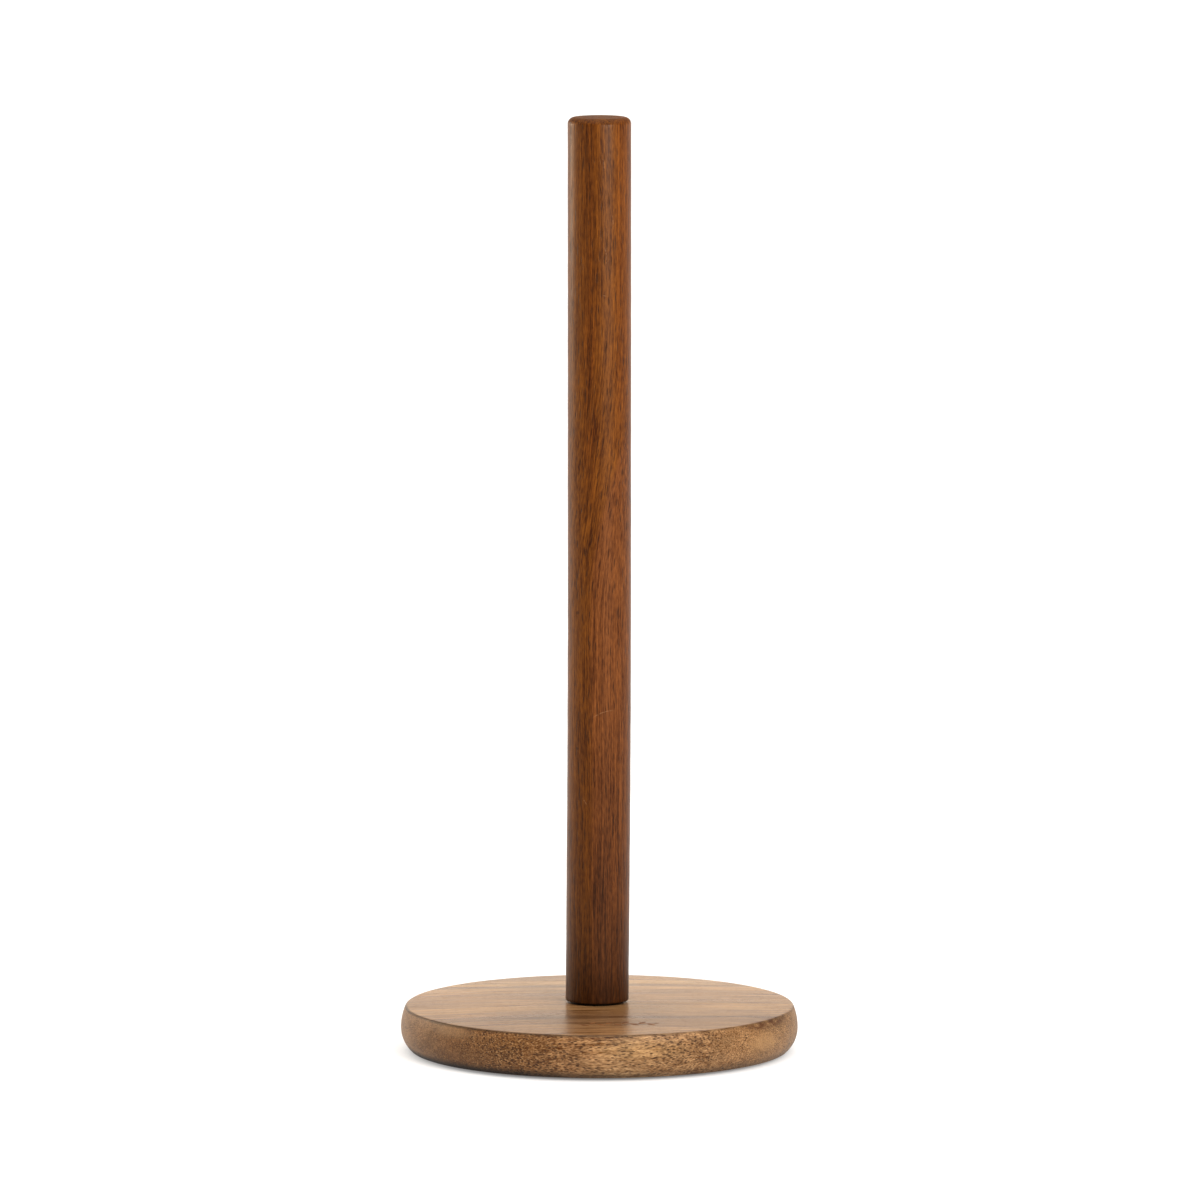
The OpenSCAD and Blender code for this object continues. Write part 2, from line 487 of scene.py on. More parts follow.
def base_pores(g, wood, colour):
    """Pores, which are short tubes along the grain and dots on the end grain, between pale flecks."""
    density = g.noise(g.scaled(wood.turned, (17, 9, 5)))
    dense = g.add(g.range(g.absolute(g.add(wood.x, 25)), 26, 10),
                  g.range(g.absolute(g.add(wood.x, -28)), 16, 6, 0, 0.6))
    size = g.add(g.range(density, 0.3, 0.6, 0.22, 0.36), g.mul(dense, 0.09))
    coarse = g.cells(wood.turned, (2.4, 0.76, 0.70), (3.1, 7.7, 1.3))
    pores = g.range(g.add(coarse, g.mul(size, -1.0)), 0.0, -0.14)
    fine_pores = g.range(g.cells(wood.turned, (1.9, 0.50, 0.46), (9.4, 2.2, 6.3)), 0.44, 0.24)
    flecks = g.range(g.cells(wood.turned, (2.0, 0.66, 0.62), (1.7, 5.2, 2.9)), 0.42, 0.22)

    fleck_share = g.mix_value(wood.top, g.range(dense, 0, 1, 0.32, 0.58), 0.03)
    colour = g.mix(g.mul(flecks, fleck_share), colour, FLECK_COLOUR)
    colour = g.mix(g.mul(fine_pores, g.range(wood.top, 0, 1, 0.50, 0.05)), colour, FINE_PORE_COLOUR)
    return g.mix(g.mul(pores, g.range(wood.top, 0, 1, 0.78, 0.22)), colour, PORE_COLOUR), pores


def base_patches(g, wood, colour):
    """Paler patches in the side, and dark veins under the arris at the right and behind on the left."""
    right = spot(g, wood.place, (58, -39, 9.0), (13, 14, 4.5))
    left = spot(g, wood.place, (-51, -46, 14.2), (14, 14, 3.2))
    colour = g.mix(g.mul(right, 0.5), colour, RIGHT_PATCH_COLOUR)
    colour = g.mix(g.mul(left, 0.5), colour, LEFT_PATCH_COLOUR)
    veined = g.add(spot(g, wood.place, (60, -34, 15.2), (19, 22, 2.2)),
                   spot(g, wood.place, (-50, 42, 12.0), (15, 18, 4)))
    vein = g.noise(g.scaled(wood.turned, (9, 3, 1.3)), detail=3)
    return g.mix(g.mul(g.mul(veined, g.range(vein, 0.36, 0.60)), 0.85), colour, VEIN_COLOUR)


def base_edges(g, wood, colour):
    """The arris is darker, most of all at the left, and painted shade darkens the lower edge, most of all at
    the left.
    """
    arris = g.mul(g.mul(g.range(wood.reach, BASE_R - 2.3, BASE_R - 1.8),
                        g.range(wood.reach, BASE_R - 1.1, BASE_R - 1.6)), g.range(wood.up, 15.2, 16.0))
    colour = g.tint(colour, g.mix_value(g.mul(arris, g.range(wood.x, -50, 45, 1.0, 0.45)), 1.0, 0.42))
    # painted shade along the lower edge, deepest at the left
    lower = g.mul(g.range(wood.up, 4.4, 1.4), g.range(wood.reach, 63, 66))
    return g.tint(colour, g.mix_value(g.mul(lower, g.range(wood.x, -50, 40, 1.0, 0.35)), 1.0, 0.10))


def base_wood():
    """Golden brown board with a satin lacquer, glossier on the top than on the side."""
    g = Graph("base_wood")
    wood = BaseGrain(g)
    colour = base_tones(g, wood, base_ground(g, wood))
    colour, pores = base_pores(g, wood, base_oval(g, wood, colour))
    colour = base_edges(g, wood, base_patches(g, wood, colour))

    height = g.add(g.add(g.mul(wood.threads, 0.25), g.mul(wood.fibres, 0.3)), g.mul(pores, -1.0))
    rough = g.add(g.range(wood.top, 0, 1, 0.46, 0.29), g.range(wood.streaks, 0.3, 0.7, -0.02, 0.03))
    return g.finish(Base_Color=colour, Roughness=rough, IOR=LACQUER_IOR,
                    Normal=g.bump(height, g.range(wood.top, 0, 1, 0.00009, 0.00004)))


# ---------------------------------------------------------------- base: shape

# Section of the base and its holes, as in the CAD
RIM_H, CROWN_H, SEAT_R = 15.3, 1.0, 15.0
BELLY_H, UPPER_R, LOWER_R, ARRIS_R = 7.5, 18.0, 10.0, 0.8
COUNTERBORE_R, COUNTERBORE_H, BOLT_HOLE_R = 9.5, 7.5, 3.3
COUNTERBORE_EASE = 0.4
BOLT_HOLE_EASE = 0.2
BASE_TURNS = 768
BASE_SANDING = {"wave": 14, "depth": 0.10, "seed": 3.0}


def meeting(c1, r1, c2, r2):
    """The right-hand point that is r1 from c1 and r2 from c2."""
    c1, c2 = Vector(c1), Vector(c2)
    gap = (c2 - c1).length
    u = (c2 - c1) / gap
    along = (r1 * r1 - r2 * r2 + gap * gap) / (2 * gap)
    across = math.sqrt(r1 * r1 - along * along)
    return c1 + along * u + across * Vector((-u.y, u.x))


def crown_radius(radius):
    """Radius of the crowned top, for a base of this radius."""
    arris_x = radius - UPPER_R + math.sqrt(UPPER_R ** 2 - (RIM_H - BELLY_H) ** 2)
    return (arris_x ** 2 - SEAT_R ** 2) / (2 * CROWN_H) + CROWN_H / 2


def bearing(start, end):
    """Direction from one point to another, in degrees."""
    return math.degrees(math.atan2(end[1] - start[1], end[0] - start[0]))


def base_profile(radius, height):
    side_c = Vector((radius - UPPER_R, BELLY_H))
    crown_r = crown_radius(radius)
    crown_c = Vector((0, height - math.sqrt(crown_r ** 2 - SEAT_R ** 2)))
    arris_c = meeting(side_c, UPPER_R - ARRIS_R, crown_c, crown_r - ARRIS_R)
    side_end = bearing(side_c, arris_c)
    crown_start = bearing(crown_c, arris_c)
    seat_start = bearing(crown_c, (SEAT_R, height))
    foot_angle = -math.degrees(math.asin(BELLY_H / LOWER_R))
    foot_x = radius - LOWER_R + LOWER_R * math.cos(math.radians(foot_angle))

    points = [(COUNTERBORE_R + COUNTERBORE_EASE, 0.0)]
    points += line(points[-1], (foot_x - 0.3, 0.0), 14)
    points += arc((radius - LOWER_R, BELLY_H), LOWER_R, foot_angle, 0, 20)
    points += arc(side_c, UPPER_R, 0, side_end, 18)[1:]
    points += arc(arris_c, ARRIS_R, side_end, crown_start, 8)[1:]
    points += arc(crown_c, crown_r, crown_start, seat_start, 40)[1:]
    points += line(points[-1], (BOLT_HOLE_R + BOLT_HOLE_EASE, height), 8)
    points += [(BOLT_HOLE_R, height - BOLT_HOLE_EASE)]
    points += line(points[-1], (BOLT_HOLE_R, COUNTERBORE_H), 4)
    points += line(points[-1], (COUNTERBORE_R, COUNTERBORE_H), 3)
    points += line(points[-1], (COUNTERBORE_R, COUNTERBORE_EASE), 3)
    return points


def turned_base():
    vertices, faces = lathe(base_profile(BASE_R, BASE_H), BASE_TURNS, True)
    outside = reaches(vertices) > COUNTERBORE_R + 2
    vertices[outside] = hand_sanded(vertices, **BASE_SANDING)[outside]
    return vertices * MM + np.array([0, 0, base_low.z]), faces


mesh_object("turned_base", *turned_base(), base_wood(), "stand", ["base"], "base_wood")


# ---------------------------------------------------------------- post: wood

def around(degrees, z):
    """A place on the post, by angle from the front and height over the table."""
    angle = math.radians(degrees)
    return (POST_R * math.sin(angle), -POST_R * math.cos(angle), z)


# Dark marks on the post: centre, radii and depth of the dent
POST_MARKS = [
    (around(-44, 156.5), (1.2, 1.2, 1.0), 0.12),
    (around(-44, 108.5), (1.0, 1.0, 0.8), 0.10),
    (around(47, 206.0), (1.0, 1.0, 1.8), 0.08),
    (around(-28, 178.0), (0.5, 0.5, 2.2), 0.08),
    (around(1, 38.0), (0.32, 0.6, 6.5), 0.10),
    (around(5, 31.0), (0.26, 0.6, 4.0), 0.08),
    (around(-3, 46.0), (0.24, 0.6, 3.5), 0.06),
]

# Pale scratches on the post's front: start (x, z), stop (x, z) and width
POST_SCRATCHES = [
    ((-3.0, 120.2), (5.2, 123.0), 0.32),
    ((-6.2, 91.5), (-4.2, 88.6), 0.28),
    ((2.2, 286.0), (2.7, 278.0), 0.25),
    ((1.2, 318.0), (2.0, 311.0), 0.28),
    ((4.6, 297.0), (4.9, 291.5), 0.22),
    ((1.0, 268.5), (3.2, 268.0), 0.22),
]
SCRATCH_BOW = 0.045

ORANGE = srgb(104, 59, 13)
RUSSET = srgb(106, 61, 26)
RIGHT_COLOUR = srgb(108, 60, 16)
ZONE_DARK, ZONE_ORANGE = srgb(80, 42, 12), srgb(114, 63, 16)
LOW_LINE_COLOUR = srgb(58, 28, 11)
POST_PORE_COLOUR = srgb(44, 20, 8)
MARK_COLOUR = srgb(50, 23, 9)
SCRATCH_COLOUR = srgb(158, 118, 84)
LACQUER_TINT = (1.0, 0.92, 0.80, 1.0)


def scratch(g, place, start, stop, width):
    """A thin, slightly bowed and broken line on the front of the post, as a mask from 0 to 1."""
    a, b = Vector((start[0], 0, start[1])), Vector((stop[0], 0, stop[1]))
    along, half = (b - a).normalized(), (b - a).length / 2
    across = Vector((-along.z, 0, along.x))
    local = g.vector("SUBTRACT", place, tuple((a + b) / 2))
    u = g.dot(local, tuple(along))
    v = g.dot(local, tuple(across))
    bow = g.mul(g.mul(u, u), SCRATCH_BOW)
    shape = g.mul(g.range(g.absolute(g.add(v, bow)), width, width * 0.2),
                  g.range(g.absolute(u), half, half / 2))
    breaks = g.range(g.noise(g.scaled(place, (0.8, 0.8, 0.8)), detail=1), 0.36, 0.56)
    return g.mul(g.mul(shape, breaks), g.range(g.split(place)[1], 0.0, -2.0))


class PostGrain:
    """The fields that the post's colour and relief are made from. Sizes of noises are along X, Y and Z."""

    def __init__(self, g):
        self.place = g.millimetres()
        self.x, y, self.z = g.split(self.place)
        sway = g.noise(g.scaled(self.place, (16, 16, 70)), detail=1)
        swaying = g.add(self.x, g.mul(g.add(sway, -0.5), 3.0))
        # the grain runs up Z, and a seam in it sweeps from the upper right to the left
        self.seam = g.add(swaying, g.range(self.z, 166, 248, 3.2, -14.0))
        self.lie = g.join(g.add(swaying, g.range(self.z, 150, 260, 3.0, -7.0)), y, self.z)

        self.streaks = g.noise(g.scaled(self.lie, (1.4, 1.4, 75)), detail=3)
        self.threads = g.noise(g.scaled(self.lie, (0.40, 0.40, 20)))
        self.fibres = g.noise(g.scaled(self.lie, (0.36, 0.36, 2.4)))
        self.blotch = g.noise(g.scaled(self.place, (6, 6, 26)))


def post_ground(g, wood):
    """Orange wood below the seam and russet beyond it, with a dark zone of orange lines in the upper half."""
    colour = g.mix(g.range(wood.seam, -1.5, 1.5), ORANGE, RUSSET)
    right = g.mul(g.range(wood.x, 4.5, 7.5), g.range(wood.z, 195, 245))
    colour = g.mix(g.mul(right, 0.8), colour, RIGHT_COLOUR)
    zone = g.mul(g.mul(g.range(wood.x, -6.5, -4.2), g.range(wood.x, -0.6, -2.6)), g.range(wood.z, 175, 225))
    lines = g.noise(g.scaled(wood.lie, (0.7, 0.7, 60)), detail=1)
    return g.mix(g.mul(zone, 0.6), colour, g.mix(g.range(lines, 0.42, 0.62), ZONE_DARK, ZONE_ORANGE))


def post_tones(g, wood, colour):
    """Painted shade that darkens the post towards the foot, dark lines in the wood there, and grain from
    broad to fine.
    """
    # painted shade: the lower part of the post darker, where the base keeps light from it
    colour = g.tint(colour, g.mul(g.range(wood.z, 18, 66, 0.64, 1.0), g.range(wood.z, 60, 150, 0.9, 1.0)))
    low_lines = g.range(g.noise(g.scaled(wood.lie, (0.6, 0.6, 26))), 0.52, 0.40)
    low_lines = g.mul(low_lines, g.mul(g.range(wood.z, 125, 35), g.range(wood.x, -6, 0, 0.35, 1.0)))
    colour = g.mix(g.mul(low_lines, 0.7), colour, LOW_LINE_COLOUR)
    broad = g.add(g.tone(wood.streaks, 0.15), g.tone(wood.blotch, 0.08))
    fine = g.add(g.tone(wood.threads, 0.36), g.tone(wood.fibres, 0.28))
    return g.shaded(colour, g.add(broad, fine))


def post_pores(g, wood):
    density = g.noise(g.scaled(wood.place, (5, 5, 30)))
    cells = g.cells(wood.lie, (0.85, 0.85, 9), (5.3, 2.9, 8.1))
    return g.range(cells, g.range(density, 0.34, 0.66, 0.18, 0.40), 0.12)


def post_wear(g, wood, colour):
    """Dark marks in the wood and thin pale scratches in the lacquer."""
    for centre, radii, _ in POST_MARKS:
        colour = g.mix(g.mul(spot(g, wood.place, centre, radii), 0.62), colour, MARK_COLOUR)
    for start, stop, width in POST_SCRATCHES:
        colour = g.mix(g.mul(scratch(g, wood.place, start, stop, width), 0.36), colour, SCRATCH_COLOUR)
    return colour


def post_wood():
    """Darker, redder wood than the base's, whose lacquer gives warm reflections."""
    g = Graph("post_wood")
    wood = PostGrain(g)
    colour = post_tones(g, wood, post_ground(g, wood))
    pores = post_pores(g, wood)
    colour = post_wear(g, wood, g.mix(g.mul(pores, 0.7), colour, POST_PORE_COLOUR))
    # painted shade darkens the lowest part of the post and a painted shadow line its foot edge; the end grain
    # on top has taken up more stain
    colour = g.tint(colour, g.range(wood.z, 17, 34, 0.80, 1.0))
    colour = g.tint(colour, g.range(wood.z, POST_Z + 0.3, POST_Z + 1.3, 0.22, 1.0))
    end = g.range(wood.z, POST_Z + POST_H - 2.2, POST_Z + POST_H - 0.6)
    colour = g.tint(colour, g.range(end, 0, 1, 1.0, 0.9))

    height = g.add(g.add(g.mul(wood.threads, 0.3), g.mul(wood.fibres, 0.3)), g.mul(pores, -1.0))
    rough = g.add(g.range(wood.streaks, 0.3, 0.7, 0.34, 0.41), g.mul(end, 0.25))
    return g.finish(Base_Color=colour, Roughness=rough, IOR=LACQUER_IOR, Specular_Tint=LACQUER_TINT,
                    Normal=g.bump(height, 0.00005))


# ---------------------------------------------------------------- post: shape

# Rounded top and stepped hole of the post, as in the CAD
POST_TOP_R = 2.4
INSERT_HOLE_R, INSERT_HOLE_H = 5.01, 16.7
FLANGE_HOLE_R, FLANGE_HOLE_H = 6.06, 1.46
TIP_HOLE_H = 22.7
POST_TURNS = 288
POST_RINGS = 290
POST_SANDING = {"wave": 9, "depth": 0.06, "seed": 8.0}

# Small rebate round the foot: distance in from the post's radius, and height
FOOT_REBATE = [(1.6, 0.5), (1.4, 0.6), (0.6, 0.64), (0.3, 0.72), (0.08, 0.92), (0.0, 1.2)]

# The post leans to the left at its foot, from this height down
LEAN, LEAN_H, LEAN_POWER = 0.85, 150, 1.7


def post_profile(radius, height):
    points = [(0.0, TIP_HOLE_H), (BOLT_HOLE_R, TIP_HOLE_H)]
    points += line(points[-1], (BOLT_HOLE_R, INSERT_HOLE_H), 2)
    points += [(INSERT_HOLE_R, INSERT_HOLE_H)]
    points += line(points[-1], (INSERT_HOLE_R, FLANGE_HOLE_H), 4)
    points += [(FLANGE_HOLE_R, FLANGE_HOLE_H)]
    points += line(points[-1], (FLANGE_HOLE_R, 0.0), 2)
    points += line(points[-1], (radius - 1.7, 0.0), 4)
    points += [(radius - inwards, z) for inwards, z in FOOT_REBATE]
    points += line(points[-1], (radius, height - POST_TOP_R), POST_RINGS)
    points += arc((radius - POST_TOP_R, height - POST_TOP_R), POST_TOP_R, 0, 90, 14)[1:]
    points += line(points[-1], (0.0, height), 8)
    return points


def dented(vertices, centre, radii, depth):
    """Pushes the post's vertices towards its axis inside a small ellipsoid."""
    distance = np.linalg.norm((vertices + [0, 0, POST_Z] - centre) / radii, axis=1)
    push = depth * np.clip(1 - distance, 0, 1) / np.maximum(reaches(vertices), 1e-6)
    moved = vertices.copy()
    moved[:, :2] -= push[:, None] * vertices[:, :2]
    return moved


def turned_post():
    vertices, faces = lathe(post_profile(POST_R, POST_H), POST_TURNS, False)
    outside = reaches(vertices) > FLANGE_HOLE_R + 0.5
    vertices[outside] = hand_sanded(vertices, **POST_SANDING)[outside]
    for centre, radii, depth in POST_MARKS:
        vertices = dented(vertices, centre, radii, depth)
    lean = -LEAN * np.clip(1 - vertices[:, 2] / LEAN_H, 0, 1) ** LEAN_POWER
    vertices[:, 0] += np.where(outside, lean, 0)
    return vertices * MM + np.array([0, 0, post_low.z]), faces


mesh_object("turned_post", *turned_post(), post_wood(), "post", ["post"], "post_wood")


# ---------------------------------------------------------------- ornament

# A row of small leaves along a wavy stem: its middle, half length, and the leaves' size and spacing
SPRIG_MIDDLE = (5.8, -46.5)
STEM_HALF, STEM_WIDTH, STEM_STEPS = 13.2, 0.32, 24
LEAF_COUNT, LEAF_START, LEAF_STEP = 9, -12.4, 2.9
LEAF_LENGTH, LEAF_WIDTH, LEAF_ANGLE, LEAF_OFFSET = 4.2, 1.7, 50, 0.22
TIP_START, TIP_LENGTH, TIP_WIDTH = 13.0, 2.0, 1.1
OUTLINE_STEPS = 10
SPRIG_TOP, SPRIG_BOTTOM = 0.02, -0.15       # heights over the wood's face


def crown_height(x, y):
    """Height of the base's top face over the table."""
    crown_r = crown_radius(BASE_R)
    drop = crown_r - math.sqrt(crown_r ** 2 - x * x - y * y)
    lift = crown_r - math.sqrt(crown_r ** 2 - SEAT_R ** 2)
    return base_low.z / MM + BASE_H - drop + lift


def stem_wave(x):
    return 0.35 * math.sin(x * 0.55)


def leaf(x, y, length, width, angle):
    """Outline of a pointed leaf that grows from a point in a direction."""
    points = []
    for side in (1, -1):
        for k in range(OUTLINE_STEPS):
            t = k / OUTLINE_STEPS if side > 0 else 1 - k / OUTLINE_STEPS
            half = side * width / 2 * math.sin(math.pi * t) ** 0.8
            points.append((x + length * t * math.cos(angle) - half * math.sin(angle),
                           y + length * t * math.sin(angle) + half * math.cos(angle)))
    return points[::-1]


def sprig_outlines():
    """The stem, the leaves on both its sides and the leaf at its tip."""
    stem = [-STEM_HALF + 2 * STEM_HALF * k / STEM_STEPS for k in range(STEM_STEPS + 1)]
    lower = [(x, stem_wave(x) - STEM_WIDTH / 2) for x in stem]
    upper = [(x, stem_wave(x) + STEM_WIDTH / 2) for x in stem]
    outlines = [lower + upper[::-1]]
    for k in range(LEAF_COUNT):
        x = LEAF_START + LEAF_STEP * k
        side = 1 if k % 2 else -1
        outlines.append(leaf(x, stem_wave(x) + LEAF_OFFSET * side, LEAF_LENGTH, LEAF_WIDTH,
                             side * math.radians(LEAF_ANGLE)))
    outlines.append(leaf(TIP_START, stem_wave(TIP_START), TIP_LENGTH, TIP_WIDTH, 0))
    return outlines


def leaf_sprig():
    """Each outline as a thin closed plate let into the crowned top, along the grain."""
    vertices, faces = [], []
    cos, sin = math.cos(math.radians(GRAIN_TURN)), math.sin(math.radians(GRAIN_TURN))
    for outline in sprig_outlines():
        first, count = len(vertices), len(outline)
        for level in (SPRIG_TOP, SPRIG_BOTTOM):
            for x, y in outline:
                px = SPRIG_MIDDLE[0] + x * cos - y * sin
                py = SPRIG_MIDDLE[1] + x * sin + y * cos
                vertices.append((px, py, crown_height(px, py) + level))
        faces.append(tuple(range(first, first + count)))
        faces.append(tuple(range(first + 2 * count - 1, first + count - 1, -1)))
        for k in range(count):
            n = (k + 1) % count
            faces.append((first + k, first + count + k, first + count + n, first + n))
    return np.array(vertices) * MM, faces


def burnt_wood():
    g = Graph("burnt_wood")
    place = g.millimetres()
    grain = g.noise(g.scaled(place, (3.0, 0.6, 0.6)), detail=3)
    char = g.noise(g.scaled(place, (5, 5, 5)))
    colour = g.ramp(g.add(g.mul(grain, 0.5), g.mul(char, 0.5)), [
        (0.35, srgb(66, 40, 21)), (0.50, srgb(98, 62, 34)), (0.65, srgb(132, 92, 54))])
    return g.finish(Base_Color=colour, Roughness=g.range(grain, 0.3, 0.7, 0.45, 0.6), IOR=LACQUER_IOR,
                    Normal=g.bump(grain, 0.00003))


mesh_object("leaf_sprig", *leaf_sprig(), burnt_wood(), "stand")


# ---------------------------------------------------------------- metal and rubber: materials

def metal(name, dark, light, rough, turned=True, stains=0.0, stain=(0, 0, 0)):
    """Metal with fine turning marks about Z, cloudy tarnish, worn, shinier patches and a share of stains."""
    g = Graph(name)
    place = g.millimetres()
    x, y, z = g.split(place)
    reach = g.length(g.join(x, y, 0.0))
    marks = g.noise(g.join(g.mul(reach, 9), g.mul(z, 9), g.mul(x, 0.25 if turned else 3.0)))
    cloud = g.noise(g.scaled(place, (3.2, 3.2, 3.2)), detail=4, rough=0.6)
    wear = g.noise(g.scaled(place, (1.1, 1.1, 1.1)), detail=3)
    colour = g.ramp(g.add(g.mul(cloud, 0.7), g.mul(marks, 0.3)), [(0.36, dark), (0.62, light)])
    if stains:
        colour = g.mix(g.mul(g.range(cloud, 0.52, 0.70), stains), colour, (*stain, 1))
    roughness = g.add(g.range(wear, 0.3, 0.7, rough - 0.07, rough + 0.09),
                      g.mul(g.range(cloud, 0.5, 0.7), 0.08))
    return g.finish(Base_Color=colour, Metallic=1.0, Roughness=roughness,
                    Normal=g.bump(g.add(g.mul(marks, 0.6), g.mul(wear, 0.4)), 0.00002))


def rubber():
    """Black rubber with a fine grit in it and some dust on it."""
    g = Graph("rubber")
    place = g.millimetres()
    grit = g.noise(g.scaled(place, (0.35, 0.35, 0.35)), detail=3)
    dust = g.noise(g.scaled(place, (4, 4, 4)), detail=3)
    colour = g.ramp(g.add(g.mul(grit, 0.4), g.mul(dust, 0.6)), [
        (0.35, (0.012, 0.012, 0.013)), (0.60, (0.028, 0.027, 0.026)), (0.75, (0.06, 0.057, 0.052))])
    return g.finish(Base_Color=colour, Roughness=g.range(dust, 0.3, 0.7, 0.62, 0.82),
                    Normal=g.bump(grit, 0.00006))


# ---------------------------------------------------------------- metal and rubber: shapes

# M6 button-head bolt, with z = 0 at the bearing face of its head
BOLT_LENGTH, BOLT_PITCH, BOLT_ROOT_R, BOLT_CREST_R = 30.0, 1.0, 2.45, 3.0
BOLT_STEPS = 300
BOLT_TIP_R = 2.35
HEAD_R, HEAD_H, HEAD_RIM, HEAD_FLAT_R = 5.25, 3.3, 0.4, 2.9
HEAD_STEPS = 12
SOCKET_FLAT, SOCKET_H = 2.0, 2.0            # half the distance across the flats, and the depth
SOCKET_EASE = 0.12                          # rim of the socket, round its opening

# Threaded insert, with z = 0 under its flange
INSERT_LENGTH, INSERT_FLANGE_T, INSERT_FLANGE_R, INSERT_BORE_R = 16.0, 1.2, 6.0, 3.05
INSERT_PITCH, INSERT_ROOT_R, INSERT_CREST_R = 2.5, 4.05, 4.95
INSERT_STEPS = 118
INSERT_EASE, INSERT_BORE_EASE = 0.15, 0.35

# Washers and pads
WASHER_T, WASHER_BORE_R = 1.6, 3.2
FLAT_WASHER_R, FLAT_WASHER_EASE = 9.0, 0.35
SPRING_WASHER_R, SPRING_GAP, SPRING_SLANT, SPRING_EASE = 5.9, 1.0, math.radians(25), 0.14
SPRING_STEPS = 120
PAD_EASE, PAD_TOP_EASE = 0.35, 0.15

RUN_OUT = 0.6                               # where a thread runs out, as a share of its pitch
METAL_SHARP = 35                            # edges over this angle in degrees stay sharp


def thread_radius(root, crest, pitch, start, stop, z):
    """Radius of a right-hand helical thread at height z, as a function of the angle, run out at both ends."""
    to_end = min(z - start, stop - z) / (RUN_OUT * pitch)
    run_out = min(1.0, max(0.0, to_end))

    def radius(angle):
        phase = (z / pitch - angle / (2 * math.pi)) % 1
        rise = min(1.0, max(0.0, (0.5 - abs(phase - 0.5)) * 2.6 - 0.5))
        return root + (crest - root) * rise * run_out
    return radius


def socket(scale):
    """Radius of the hexagonal socket, as a function of the angle."""
    return lambda angle: scale * SOCKET_FLAT / math.cos(angle % (math.pi / 3) - math.pi / 6)


def bolt_thread(z):
    """Radius of the bolt at height z, as a function of the angle. The thread ends in a chamfer."""
    thread = thread_radius(BOLT_ROOT_R, BOLT_CREST_R, BOLT_PITCH, 0.2, BOLT_LENGTH - 0.3, z)
    chamfer = BOLT_TIP_R + (BOLT_LENGTH - z) * 1.1
    return lambda angle: min(thread(angle), chamfer)


def fixing_bolt():
    dome_c = (HEAD_R ** 2 - HEAD_FLAT_R ** 2 + HEAD_RIM ** 2 - HEAD_H ** 2) / (2 * (HEAD_H - HEAD_RIM))
    dome_r = math.hypot(HEAD_R, dome_c + HEAD_RIM)
    floor_z = SOCKET_H - HEAD_H
    # the socket, from the drilled middle of its floor out to its rim
    points = [(0.0, floor_z + 0.35), (1.2, floor_z + 0.15), (socket(0.97), floor_z)]
    points += [(socket(1.0), z) for z in (floor_z - 0.06, -2.0, -2.6, SOCKET_EASE * 1.5 - HEAD_H)]
    points += [(socket(1.08), -HEAD_H)]
    # the flat end and the dome of the head
    inner = HEAD_FLAT_R - SOCKET_EASE
    for k in range(HEAD_STEPS + 1):
        r = inner + (HEAD_R - inner) * k / HEAD_STEPS
        points.append((r, dome_c - math.sqrt(dome_r ** 2 - r ** 2) if r >= HEAD_FLAT_R else -HEAD_H))
    points += [(HEAD_R, -0.22), (HEAD_R, -0.08), (HEAD_R - 0.08, 0.0), (4.2, 0.0), (3.05, 0.0)]
    for k in range(1, BOLT_STEPS):
        z = BOLT_LENGTH * k / BOLT_STEPS
        points.append((bolt_thread(z), z))
    points += [(BOLT_TIP_R - 0.05, BOLT_LENGTH), (0.0, BOLT_LENGTH)]
    return lathe(points, 96, False)


def insert_thread(z):
    """Radius of the insert at height z, as a function of the angle. Its nose is eased."""
    thread = thread_radius(INSERT_ROOT_R, INSERT_CREST_R, INSERT_PITCH, INSERT_FLANGE_T + 0.2,
                           INSERT_LENGTH - 1.0, z)
    nose = 0.35 * max(0.0, 1 - (INSERT_LENGTH - z) / 0.4)
    return lambda angle: thread(angle) - nose


def threaded_insert():
    points = [(INSERT_BORE_R + INSERT_BORE_EASE, 0.0), (INSERT_FLANGE_R - INSERT_EASE, 0.0),
              (INSERT_FLANGE_R, INSERT_EASE), (INSERT_FLANGE_R, INSERT_FLANGE_T - INSERT_EASE),
              (INSERT_FLANGE_R - INSERT_EASE, INSERT_FLANGE_T), (4.2, INSERT_FLANGE_T)]
    for k in range(1, INSERT_STEPS):
        z = INSERT_FLANGE_T + (INSERT_LENGTH - INSERT_FLANGE_T) * k / INSERT_STEPS
        points.append((insert_thread(z), z))
    points += [(INSERT_ROOT_R - 0.35, INSERT_LENGTH), (INSERT_BORE_R + INSERT_BORE_EASE, INSERT_LENGTH)]
    points += [(INSERT_BORE_R, z) for z in (INSERT_LENGTH - INSERT_BORE_EASE, INSERT_LENGTH / 2,
                                            INSERT_BORE_EASE)]
    return lathe(points, 96, True)


def flat_washer():
    """Stamped washer: its lower outer edge is round and the upper one nearly sharp."""
    outer, inner, thick, ease = FLAT_WASHER_R, WASHER_BORE_R, WASHER_T, FLAT_WASHER_EASE
    points = [(inner + ease * 0.6, 0.0), (outer - ease, 0.0)]
    points += arc((outer - ease, ease), ease, -90, 0, 5)[1:]
    points += [(outer, thick - 0.08), (outer - 0.08, thick), (inner + 0.08, thick)]
    points += [(inner, thick - 0.08), (inner, ease * 0.6)]
    return lathe(points, 128, True)


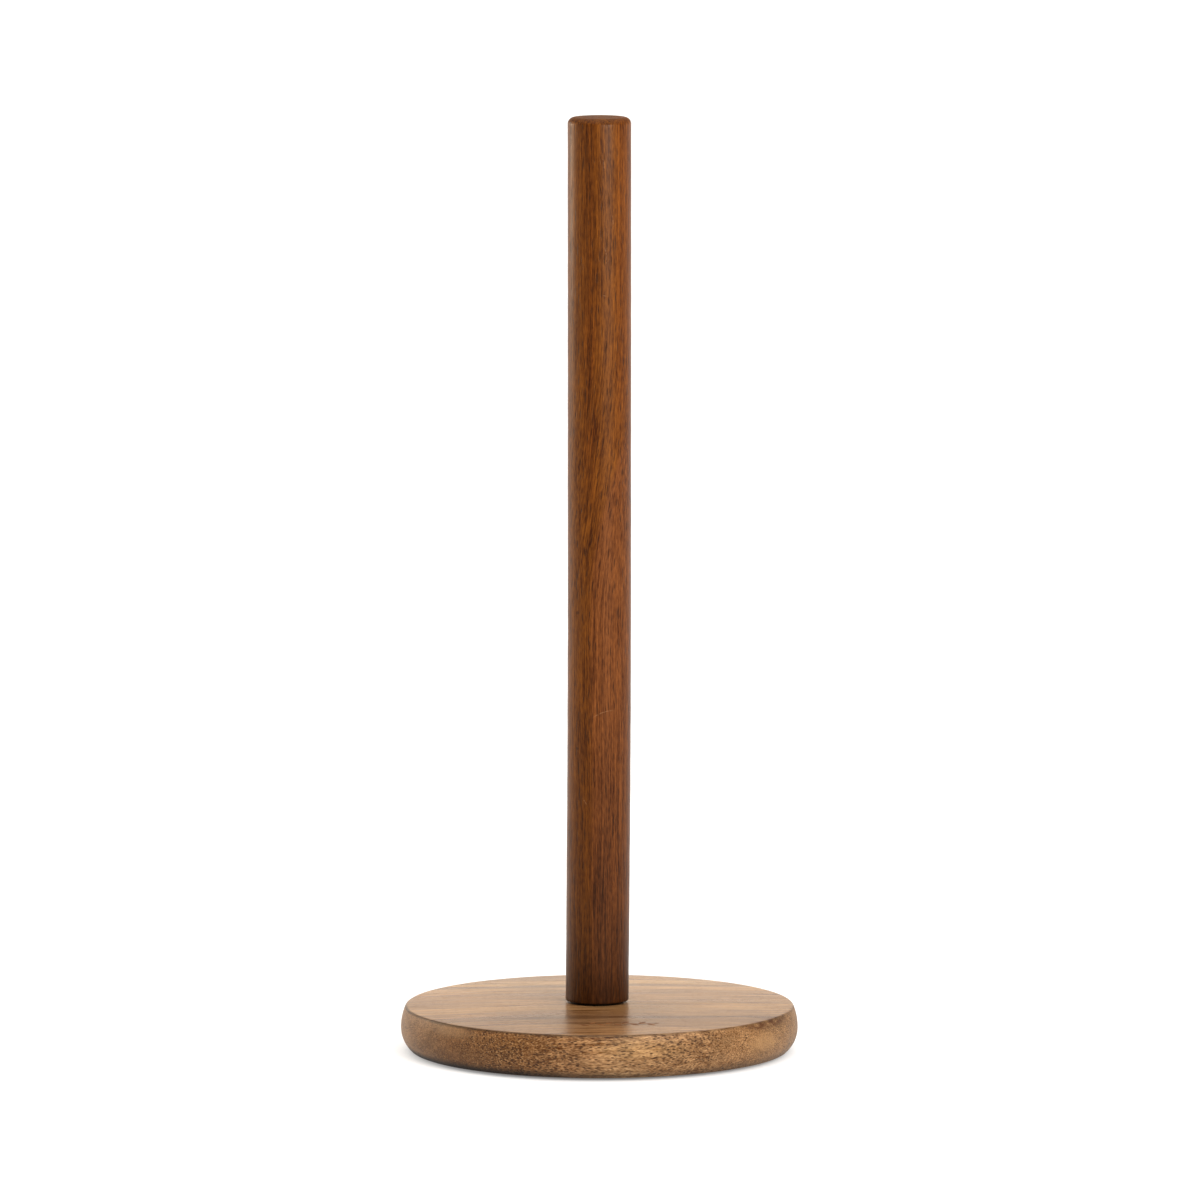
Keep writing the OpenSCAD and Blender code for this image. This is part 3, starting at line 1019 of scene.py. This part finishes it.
def spring_washer():
    """A split ring of nearly square section. Its two ends slant, and each corner is eased."""
    outer, inner, thick, ease = SPRING_WASHER_R, WASHER_BORE_R, WASHER_T, SPRING_EASE
    section = [(inner + ease, 0), (outer - ease, 0), (outer, ease), (outer, thick - ease),
               (outer - ease, thick), (inner + ease, thick), (inner, thick - ease), (inner, ease)]
    count = len(section)
    vertices, faces = [], []

    def end_angle(r, z, side):
        across = side * SPRING_GAP / 2 / math.cos(SPRING_SLANT) - math.tan(SPRING_SLANT) * (z - thick / 2)
        return math.asin(across / r)

    for k in range(SPRING_STEPS + 1):
        for r, z in section:
            first, last = end_angle(r, z, 1), 2 * math.pi + end_angle(r, z, -1)
            angle = first + (last - first) * k / SPRING_STEPS
            vertices.append((r * math.cos(angle), r * math.sin(angle), z))
    for k in range(SPRING_STEPS):
        for j in range(count):
            a, b = k * count + j, k * count + (j + 1) % count
            faces.append((a, a + count, b + count, b))
    faces.append(tuple(range(count)))
    faces.append(tuple(SPRING_STEPS * count + j for j in range(count - 1, -1, -1)))
    return np.array(vertices), faces


def pad(radius, thick):
    points = [(0.0, 0.0), (radius * 0.5, 0.0), (radius - PAD_EASE, 0.0)]
    points += arc((radius - PAD_EASE, PAD_EASE), PAD_EASE, -90, 0, 5)[1:]
    points += [(radius, thick - PAD_TOP_EASE), (radius - PAD_TOP_EASE, thick)]
    points += [(radius * 0.5, thick), (0.0, thick)]
    return lathe(points, 72, False)


def raised(shape, z):
    """A shape in mm about the Z axis, put at height z of the frame in metres."""
    vertices, faces = shape
    return vertices * MM + np.array([0, 0, z]), faces


# ---------------------------------------------------------------- metal and rubber: pieces

zinc = metal("zinc", (0.46, 0.47, 0.49), (0.70, 0.71, 0.72), 0.34)
washer_zinc = metal("washer_zinc", (0.50, 0.51, 0.52), (0.74, 0.75, 0.75), 0.38)
oiled_steel = metal("oiled_steel", (0.055, 0.055, 0.06), (0.14, 0.14, 0.145), 0.42, turned=False,
                    stains=0.4, stain=(0.10, 0.06, 0.035))
brass = metal("brass", (0.52, 0.36, 0.14), (0.80, 0.60, 0.27), 0.32,
              stains=0.35, stain=(0.30, 0.18, 0.07))
rubber_material = rubber()

bolt_face_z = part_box("fixing_bolt")[0].z + HEAD_H * MM
mesh_object("button_bolt", *raised(fixing_bolt(), bolt_face_z), zinc, "stand",
            ["fixing_bolt"], "bolt_steel", METAL_SHARP)
mesh_object("brass_insert", *raised(threaded_insert(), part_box("threaded_insert")[0].z), brass, "insert",
            ["threaded_insert"], "insert_metal", METAL_SHARP)
mesh_object("wide_washer", *raised(flat_washer(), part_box("flat_washer")[0].z), washer_zinc, "stand",
            ["flat_washer"], "washer_steel", METAL_SHARP)
mesh_object("split_washer", *raised(spring_washer(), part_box("spring_washer")[0].z), oiled_steel, "stand",
            ["spring_washer"], "spring_steel", METAL_SHARP)

for node in ("pad_front_left", "pad_front_right", "pad_back_left", "pad_back_right"):
    low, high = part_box(node)
    vertices, faces = pad((high.x - low.x) / 2 / MM, (high.z - low.z) / MM)
    middle = np.array([(low.x + high.x) / 2, (low.y + high.y) / 2, low.z])
    mesh_object("rubber_" + node, vertices * MM + middle, faces, rubber_material, "stand",
                [node], "pad", METAL_SHARP)
